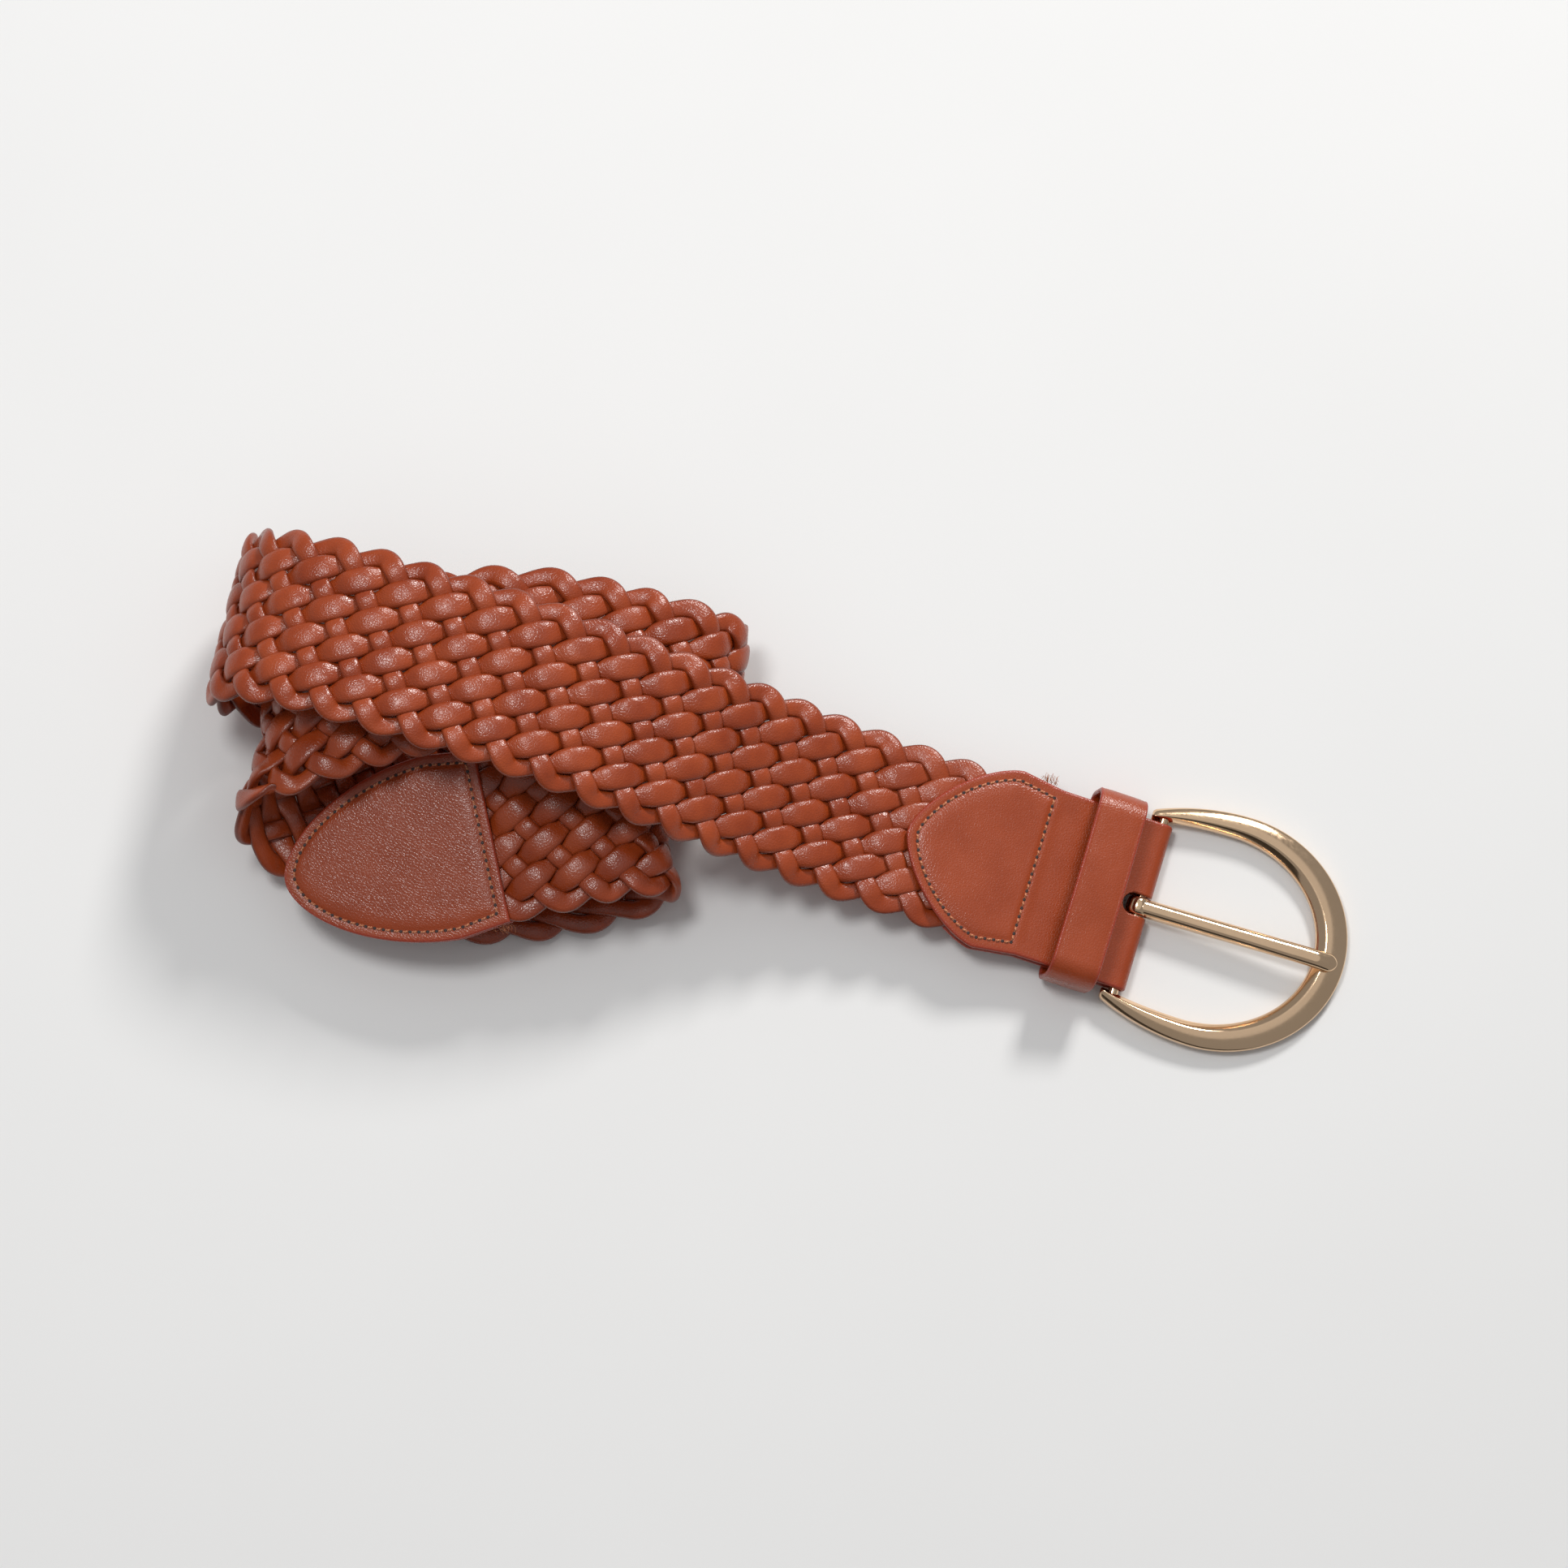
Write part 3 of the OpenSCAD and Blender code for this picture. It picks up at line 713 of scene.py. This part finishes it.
def chape_top(x, y):
    """Height of the chape's upper face over its middle plane."""
    flat = np.stack([x.ravel(), y.ravel()], 1)
    raised = swell(flat, chape_outline, chape_seam, chape_puff, chape_puff_start)
    return leaf_top + raised.reshape(x.shape)


sew(
    "chape_seam", even_points(chape_seam, 0.25), chape_top, lambda x, y: -chape_top(x, y),
    on_leather, "chape_stitching",
)

# ---------------------------------------------------------------------------------------------
# The leather tip: two panels cut to the same rounded point, with a filler between them past
# the braid's end. The three edges are sanded flush and painted together.
tip_len, tip_round, tip_half, tip_base_half, tip_power = 60, 46, 26, 24.3, 1.75
tip_wide_at = tip_len - tip_round
panel_t = 1.4
panel_gap = pressed_t / 2 + 0.05


def at_tip(points):
    """From the tip's own frame, x towards its point, to the belt's."""
    x, y, z = np.moveaxis(np.asarray(points, float), -1, 0)
    base = tip_base + [bar[0], bar[1], 0]
    return (base + x[..., None] * tip_dir - y[..., None] * tip_across + z[..., None] * tip_up)


tip_outline = even_points(np.vstack([
    [[0, -tip_base_half]], tongue_curve(tip_wide_at, tip_round, tip_half, tip_power, 0),
    [[0, tip_base_half], [0, -tip_base_half]],
]), 0.5)
tip_seam = np.vstack([
    [[seam_inset, seam_inset - tip_base_half]],
    tongue_curve(tip_wide_at, tip_round, tip_half, tip_power, seam_inset),
    [[seam_inset, tip_base_half - seam_inset], [seam_inset, seam_inset - tip_base_half]],
])
tip_x = np.concatenate([
    np.r_[0, 0.1, 0.3, 0.6], np.linspace(1, tip_wide_at, 30)[:-1],
    tip_wide_at + tip_round * np.sin(np.linspace(0, np.pi / 2, 110)),
])
tip_x[-1] -= 0.02
tip_half_at = tongue_half_at(tip_x, tip_base_half, 0, tip_wide_at, tip_round, tip_half, tip_power)


def tip_layer(name, low, high, face_sign, finish, node, start=0.0, inset=0.0):
    """One layer of the tip between two heights, swollen on the side that face_sign says."""
    keep = tip_x >= start
    xs, thick = tip_x[keep], (high - low)
    xs = xs - inset * (xs - tip_base_half) / tip_len
    half = tip_half_at[keep] - inset * np.minimum(1, tip_half_at[keep] / 5)
    rounded = thick * end_taper(np.minimum(xs - xs[0], xs[-1] - xs) + 0.02, thick)
    y, z, rim = strip(half, rounded)
    x = np.broadcast_to(xs[:, None], y.shape)
    flat = np.stack([x.ravel(), y.ravel()], 1)
    puff = swell(flat, tip_outline, tip_seam, tip_puff, tip_puff_start).reshape(y.shape)
    outer = (np.sign(z) == face_sign) & (rim < 0.5)
    z = (low + high) / 2 + z + face_sign * puff * outer
    made = solid(name, at_tip(np.stack([x, y, z], -1)).reshape(-1, 3),
                 tube_faces(len(xs), y.shape[1]), finish)
    near = 1 - ramp(nearest(flat, tip_outline), 0.5, 1.1)
    mark(made, "rim", np.clip(rim + 0.8 * near.reshape(rim.shape), 0, 1).ravel())
    flip_if_inside_out(made)
    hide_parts(node)
    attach(made, "strap")


tip_layer("tip_front", panel_gap, panel_gap + panel_t, 1, end_finish, "tip_front_panel")
tip_layer("tip_back", -panel_gap - panel_t, -panel_gap, -1, end_finish, "tip_back_panel")
filler_finish = leather(
    "filler_leather", (0.24, 0.03, 0.014), (0.30, 0.04, 0.018), {"rim": (0.27, 0.028, 0.014)},
    pebble=2500.0, crease=0.0, bump=0.15,
)
tip_layer("tip_core", 0.05 - panel_gap, panel_gap - 0.05, 0, filler_finish, "tip_filler",
          start=tip_hold + 1.2, inset=0.2)


def tip_face(x, y):
    """Height of a tip panel's outer face over the tip's middle plane."""
    flat = np.stack([x.ravel(), y.ravel()], 1)
    raised = swell(flat, tip_outline, tip_seam, tip_puff, tip_puff_start)
    return panel_gap + panel_t + raised.reshape(x.shape)


sew("tip_seam", even_points(tip_seam, 0.25), tip_face, lambda x, y: -tip_face(x, y), at_tip,
    "tip_stitching")

# Frayed ends: a few fine tan and pale fibres of the thongs' lining that escape from under the
# leather ends, at the chape's far side and under the tip's open edge.
fray_finish, nodes, links, shader = finish_of("frayed_lining", Roughness=0.8)
wisp = add(nodes, "ShaderNodeTexNoise", Scale=400.0)
tone = add(nodes, "ShaderNodeMix", data_type="RGBA")
tone.inputs[6].default_value = (0.30, 0.08, 0.03, 1)
tone.inputs[7].default_value = (0.60, 0.25, 0.12, 1)
links.new(add(nodes, "ShaderNodeTexCoord").outputs["Object"], wisp.inputs["Vector"])
links.new(wisp.outputs[0], tone.inputs[0])
links.new(tone.outputs[2], shader.inputs["Base Color"])
chance = np.random.default_rng(7)


def fibres(name, roots, lean_to, count, length, place):
    """Curved hairs: each starts near a root, leans outwards and bends by a random amount."""
    t = np.linspace(0, 1, 7)[:, None]
    a = np.arange(5) * 2 * np.pi / 5
    points, faces = [], []
    for k in range(count):
        start = roots + chance.normal(0, 1, 3) * [1.4, 0.4, 0.5]
        aim = lean_to * length * chance.uniform(0.5, 1.1) + chance.normal(0, 0.5, 3)
        bow = chance.normal(0, 0.9, 3)
        path = start + aim * t + bow * t * (1 - t) * 2
        radius = 0.09 * (1 - 0.5 * t)
        ring = path[:, None] + radius[:, None] * np.stack(
            [np.cos(a), 0 * a, np.sin(a)], 1)[None]
        faces += (np.array(tube_faces(7, 5)[:-2]) + 35 * k).tolist()
        faces += [[35 * k + v for v in (4, 3, 2, 1, 0)], [35 * k + v for v in range(30, 35)]]
        points.append(ring.reshape(-1, 3))
    made = solid(name, place(np.vstack(points)), faces, fray_finish)
    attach(made, "strap")


fibres("chape_fray", np.array([34.5, -25.4, -0.2]), np.array([0.1, -1, 0.2]), 26, 2.2, on_leather)
fibres("tip_fray", np.array([3.0, 24.6, -0.2]), np.array([-0.3, 1, 0.1]), 22, 2.2, at_tip)

# Hidden inside: a woven tape sewn across the thongs' cut ends at each end of the braid, and a
# strip of leather board that keeps the folded leather flat in front of the braid.
tape_finish, nodes, links, shader = finish_of("woven_tape", Roughness=0.9)
weave = add(nodes, "ShaderNodeTexWave", Scale=900.0, Distortion=0.4)
tone = add(nodes, "ShaderNodeMix", data_type="RGBA")
tone.inputs[6].default_value = (0.38, 0.28, 0.2, 1)
tone.inputs[7].default_value = (0.62, 0.5, 0.38, 1)
links.new(add(nodes, "ShaderNodeTexCoord").outputs["Object"], weave.inputs["Vector"])
links.new(weave.outputs[0], tone.inputs[0])
links.new(tone.outputs[2], shader.inputs["Base Color"])
board_finish = leather("filler_board", (0.12, 0.05, 0.02), (0.2, 0.09, 0.05), {}, pebble=700.0)


def refinish(node, finish):
    """A CAD node whose shape is right is shown as it is, in its own finish."""
    made = frame["nodes"][node]
    made.data.materials.clear()
    made.data.materials.append(finish)


refinish("buckle_end_tape", tape_finish)
refinish("tip_end_tape", tape_finish)
refinish("chape_filler", board_finish)

# ---------------------------------------------------------------------------------------------
# The keeper: a 14 mm strip of the same leather bent to a loop that slides on the folded
# leather. Its two ends meet underneath, and a small steel staple holds them together.
keeper_gap, keeper_w, keeper_t = 7, 14, 1.6
keeper_half, keeper_low, keeper_high = 26.4, -leaf_top - 0.3, leaf_top + 7.6
low_r, high_r = 2.5 + keeper_t / 2, 5 + keeper_t / 2
out, low, high = keeper_half + keeper_t / 2, keeper_low - keeper_t / 2, keeper_high + keeper_t / 2


def corner_arc(y, z, r, first, last):
    """Quarter turn of radius r about y, z."""
    a = np.radians(np.linspace(first, last, 14))
    return np.stack([y + r * np.cos(a), z + r * np.sin(a)], 1)


loop = even_points(np.vstack([
    [[0.08, low]],
    corner_arc(out - low_r, low + low_r, low_r, -90, 0),
    corner_arc(out - high_r, high - high_r, high_r, 0, 90),
    corner_arc(high_r - out, high - high_r, high_r, 90, 180),
    corner_arc(low_r - out, low + low_r, low_r, 180, 270),
    [[-0.08, low]],
]), 0.7)
loop_run = np.linspace(0, 1, len(loop))
loop_travel = unit(np.gradient(loop, axis=0))
loop_out = np.stack([loop_travel[:, 1], -loop_travel[:, 0]], 1)
crown = 0.9 * np.exp(-((loop[:, 0] / 15) ** 2)) * (loop[:, 1] > 5)
loop_thick = keeper_t * end_taper(np.minimum(loop_run, 1 - loop_run) * 130 + 0.4, 0.8)
y, z, rim = strip(np.full(len(loop), keeper_w / 2), loop_thick, across_count=24)
cup = -0.25 * (y / 7) ** 4 * (1 - rim)
offset = z + cup * (z > 0) + crown[:, None]
points = np.stack([
    keeper_gap + keeper_w / 2 + y,
    loop[:, :1] + loop_out[:, :1] * offset,
    loop[:, 1:] + loop_out[:, 1:] * offset,
], -1)
keeper = solid("keeper_strip", on_leather(points).reshape(-1, 3),
               tube_faces(len(loop), y.shape[1]), end_finish)
near_edge = 1 - ramp(keeper_w / 2 - np.abs(y), 0.5, 1.0)
mark(keeper, "rim", np.clip(rim + 0.8 * near_edge, 0, 1).ravel())
flip_if_inside_out(keeper)
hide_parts("keeper_loop")
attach(keeper, "keeper")

staple_finish, nodes, links, shader = finish_of("staple_steel", Metallic=1.0, Roughness=0.3)
drawn = add(nodes, "ShaderNodeTexNoise", Scale=900.0)
tone = add(nodes, "ShaderNodeMix", data_type="RGBA")
tone.inputs[6].default_value = (0.45, 0.45, 0.47, 1)
tone.inputs[7].default_value = (0.62, 0.62, 0.64, 1)
links.new(add(nodes, "ShaderNodeTexCoord").outputs["Object"], drawn.inputs["Vector"])
links.new(drawn.outputs[0], tone.inputs[0])
links.new(tone.outputs[2], shader.inputs["Base Color"])
wire_r, crown_half = 0.3, 4 - 0.3
crown_z = keeper_low - keeper_t - wire_r
wire = even_points(np.vstack([
    [[-crown_half, crown_z + 1.4]],
    corner_arc(-crown_half + 0.5, crown_z + 0.5, 0.5, 180, 270),
    corner_arc(crown_half - 0.5, crown_z + 0.5, 0.5, -90, 0),
    [[crown_half, crown_z + 1.4]],
]), 0.25)
wire_travel = unit(np.gradient(wire, axis=0))
a = np.arange(12) * np.pi / 6
points = np.stack([
    np.broadcast_to(keeper_gap + keeper_w / 2 + wire_r * np.cos(a), (len(wire), 12)),
    wire[:, :1] + wire_travel[:, 1:] * wire_r * np.sin(a),
    wire[:, 1:] - wire_travel[:, :1] * wire_r * np.sin(a),
], -1)
staple = solid("staple_wire", on_leather(points).reshape(-1, 3), tube_faces(len(wire), 12),
               staple_finish)
flip_if_inside_out(staple)
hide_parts("keeper_staple")
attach(staple, "keeper")

# ---------------------------------------------------------------------------------------------
# The buckle: a D-shaped frame, cast in zinc, polished and plated pale gold. Its face is gently
# domed with a bevel to the opening, and it narrows to two arms that hold the bar's ends.
frame_len, frame_t, arm_tail = 60, 4.6, 3.5
arm_inner = 25.2
arm_outer, frame_half = arm_inner + 4, arm_inner + 8.4
outer_wide_at, hole_wide_at = 24, 20
hole_half = frame_half - 6.8
hole_len = frame_len - 9
frame_drop = math.asin((bar[2] - frame_t / 2 - 0.05) / frame_len)


def on_buckle(points):
    """From the buckle's own frame, x from the bar to the round end, to the belt's."""
    x, y, z = np.moveaxis(np.asarray(points, float), -1, 0)
    c, sn = math.cos(frame_drop), math.sin(frame_drop)
    return np.stack([x * c + z * sn, y, -x * sn + z * c], -1) + bar


def d_outline(wide_at, reach, half, arm):
    """Half of a D: a parabola from the arm's end, half - (half - arm) ((wide_at - x) / wide_at)^2,
    then a quarter ellipse to the round end. Mirrored for the other half."""
    x = np.linspace(-arm_tail, wide_at, 50)[:-1]
    side = np.stack([x, half - (half - arm) * ((wide_at - x) / wide_at) ** 2], 1)
    a = np.linspace(np.pi / 2, 0, 60)
    nose = np.stack([wide_at + (reach - wide_at) * np.cos(a), half * np.sin(a)], 1)
    one = np.vstack([side, nose])
    return np.vstack([one, (one * [1, -1])[-2::-1]])


outer = d_outline(outer_wide_at, frame_len, frame_half, arm_outer)
inner = d_outline(hole_wide_at, hole_len, hole_half, arm_inner)
section = np.array([
    [0, -1.3], [0, -0.3], [0.005, 0.35], [0.03, 0.8], [0.09, 1.12], [0.2, 1.5], [0.35, 1.88],
    [0.5, 2.14], [0.6, 2.26], [0.66, 2.3], [0.7, 2.24], [0.76, 2.0], [0.84, 1.5], [0.92, 0.92],
    [0.975, 0.4], [0.995, 0], [1, -0.5], [0.995, -1.3], [0.97, -1.8], [0.91, -2.15],
    [0.8, -2.3], [0.2, -2.3], [0.08, -2.15], [0.02, -1.8],
])
section = smooth_line(np.vstack([section, section[:1]]), 3)[:-1]
arm_ends = np.minimum(np.arange(len(outer)), np.arange(len(outer))[::-1])
share = np.clip(arm_ends / 2.0, 0, 1)
shrink = 0.8 + 0.2 * np.sqrt(1 - (1 - share) ** 2)
f = 0.5 + (section[:, 0] - 0.5) * shrink[:, None]
z = section[:, 1] * shrink[:, None]
points = np.stack([
    outer[:, :1] + (inner - outer)[:, :1] * f, outer[:, 1:] + (inner - outer)[:, 1:] * f, z
], -1)

gold_group = bpy.data.node_groups.new("polish_wear", "ShaderNodeTree")
socket = gold_group.interface.new_socket(
    "Scratch Scale", in_out="INPUT", socket_type="NodeSocketFloat"
)
socket.default_value = 300.0
for socket_name in ("Dullness", "Tone", "Height"):
    gold_group.interface.new_socket(socket_name, in_out="OUTPUT", socket_type="NodeSocketFloat")


def fill_polish(group):
    """Polished plating: Dullness is fine handling marks in slow patches, Tone a slow drift of
    the plating's colour, Height the faint waves that hand polishing leaves."""
    nodes, links = group.nodes, group.links
    given, put_out = nodes.new("NodeGroupInput"), nodes.new("NodeGroupOutput")
    place = add(nodes, "ShaderNodeTexCoord").outputs["Object"]
    marks = add(nodes, "ShaderNodeTexNoise", Detail=6.0, Roughness=0.7, Distortion=1.5)
    drift = add(nodes, "ShaderNodeTexNoise", Scale=40.0, Detail=2.0)
    wave = add(nodes, "ShaderNodeTexNoise", Scale=110.0, Detail=1.0)
    for node in (marks, drift, wave):
        links.new(place, node.inputs["Vector"])
    links.new(given.outputs[0], marks.inputs["Scale"])
    dull = add(nodes, "ShaderNodeMapRange", From_Min=0.35, From_Max=0.8, To_Min=0.09, To_Max=0.2)
    links.new(marks.outputs[0], dull.inputs["Value"])
    links.new(dull.outputs[0], put_out.inputs["Dullness"])
    links.new(drift.outputs[0], put_out.inputs["Tone"])
    links.new(wave.outputs[0], put_out.inputs["Height"])


fill_polish(gold_group)


def plated(name, deep, light, scale):
    """Pale gold plating over a polished casting."""
    made, nodes, links, shader = finish_of(name, Metallic=1.0)
    wear = add(nodes, "ShaderNodeGroup", node_tree=gold_group)
    wear.inputs[0].default_value = scale
    tone = add(nodes, "ShaderNodeMix", data_type="RGBA")
    tone.inputs[6].default_value = (*deep, 1)
    tone.inputs[7].default_value = (*light, 1)
    links.new(wear.outputs["Tone"], tone.inputs[0])
    links.new(tone.outputs[2], shader.inputs["Base Color"])
    links.new(wear.outputs["Dullness"], shader.inputs["Roughness"])
    relief = add(nodes, "ShaderNodeBump", Strength=0.2, Distance=0.0001)
    links.new(wear.outputs["Height"], relief.inputs["Height"])
    links.new(relief.outputs[0], shader.inputs["Normal"])
    return made


gold = plated("pale_gold", (0.80, 0.55, 0.34), (0.88, 0.64, 0.43), 500.0)
d_frame = solid("d_frame", on_buckle(points).reshape(-1, 3),
                tube_faces(len(outer), len(section)), gold)
flip_if_inside_out(d_frame)
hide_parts("buckle_frame")
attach(d_frame, "buckle")
refinish("buckle_bar", gold)

# The prong: a half-round tongue whose eye turns on the bar inside the fold. It rises through the
# slot in the leather and lies across the frame's round end.
prong_half, eye_in, eye_out = 2.6, 1.58, 3.48
lower = np.array([
    [0.6, -1.0], [3, -1.2], [9, -1.0], [30, 1.0], [45.4, 2.62], [50, 2.62], [57.2, 2.62],
])
upper = np.array([
    [0.6, 3.3], [3, 3.4], [9, 3.6], [30, 4.9], [45.4, 5.7], [52, 5.6], [57.2, 4.6],
])
xs = np.r_[np.linspace(0.6, 55, 90), 55 + 2.6 * np.sin(np.linspace(0, np.pi / 2, 16))[1:]]
low = np.interp(xs, *lower.T)
high = np.interp(xs, *upper.T)
nose = np.sqrt(np.clip(1 - ((xs - 54.9) / 2.72).clip(0, 1) ** 2, 0.004, 1))
a = np.arange(28) * 2 * np.pi / 28
cross_y = np.sign(np.cos(a)) * np.abs(np.cos(a)) ** 0.9
cross_z = np.where(np.sin(a) > 0, np.abs(np.sin(a)) ** 0.95, -np.abs(np.sin(a)) ** 0.35 * 0.62)
seat = low + (high - low) * 0.385
points = np.stack([
    np.broadcast_to(xs[:, None], (len(xs), 28)),
    prong_half * nose[:, None] * cross_y,
    seat[:, None] + ((high - low) * 0.615 * (0.35 + 0.65 * nose))[:, None] * cross_z,
], -1)
blade_faces = tube_faces(len(xs), 28)
ring_a = np.linspace(0, 2 * np.pi, 49)[:-1]
eye_section = np.array([
    [eye_in, -2.4], [eye_in, 2.4], [eye_in + 0.2, 2.6], [eye_out - 1.1, 2.6],
    [eye_out - 0.4, 2.2], [eye_out, 1.2], [eye_out, -1.2], [eye_out - 0.4, -2.2],
    [eye_out - 1.1, -2.6], [eye_in + 0.2, -2.6],
])
eye = np.stack([
    np.cos(ring_a)[:, None] * eye_section[:, 0],
    np.broadcast_to(eye_section[:, 1], (48, 10)),
    np.sin(ring_a)[:, None] * eye_section[:, 0],
], -1)
eye_faces = tube_faces(48, 10, closed=True)
prong = solid("prong_blade", on_buckle(points).reshape(-1, 3), blade_faces, gold)
eye_piece = solid("prong_eye", on_buckle(eye).reshape(-1, 3), eye_faces, gold)
for piece in (prong, eye_piece):
    flip_if_inside_out(piece)
    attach(piece, "prong")
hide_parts("buckle_prong")
